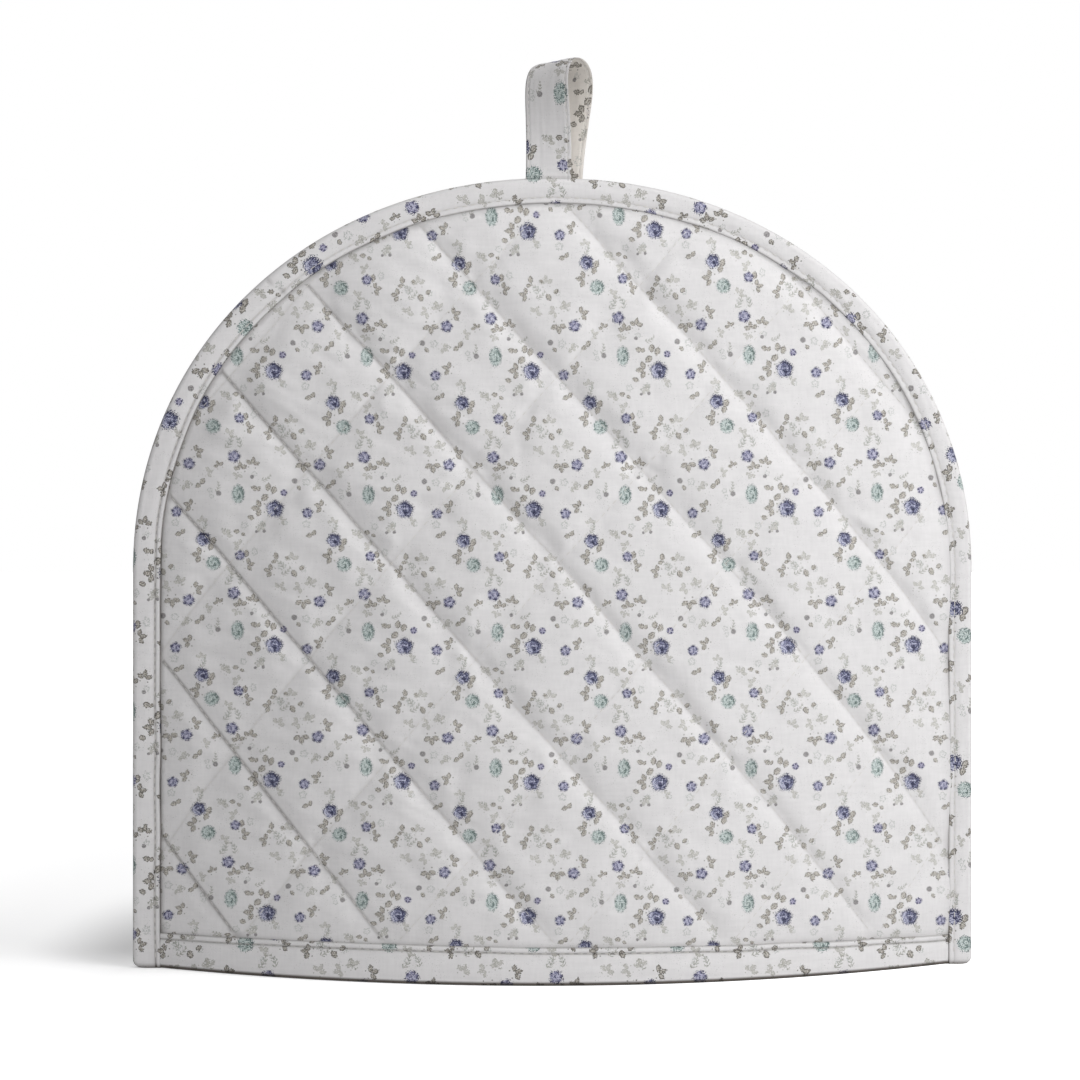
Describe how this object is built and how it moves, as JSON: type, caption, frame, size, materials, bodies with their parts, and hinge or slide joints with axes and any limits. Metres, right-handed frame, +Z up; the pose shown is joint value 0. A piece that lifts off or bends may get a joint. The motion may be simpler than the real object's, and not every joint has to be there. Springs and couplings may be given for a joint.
{
  "type": "tea cosy",
  "caption": "Dome-shaped tea cosy of quilted printed cloth with bound arch and hems and a hanging loop, standing open on its hem.",
  "frame": {"origin": "on the surface under the middle of the cosy", "axes": "+Z up, +X to the right seen from the front, -Y out of the front"},
  "size_m": [0.32, 0.1202, 0.3453],
  "materials": {
    "quilted_cloth": "matt cotton with a small rose print, padded and machine quilted",
    "binding_cloth": "matt cotton tape with the same rose print, folded and stitched",
    "loop_cloth": "matt cotton tape with the same rose print"
  },
  "bodies": {
    "root": {"front_panel": "quilted_cloth", "back_panel": "quilted_cloth", "arch_binding": "binding_cloth", "hem_binding_front": "binding_cloth", "hem_binding_back": "binding_cloth", "hanging_loop": "loop_cloth"}
  },
  "joints": []
}
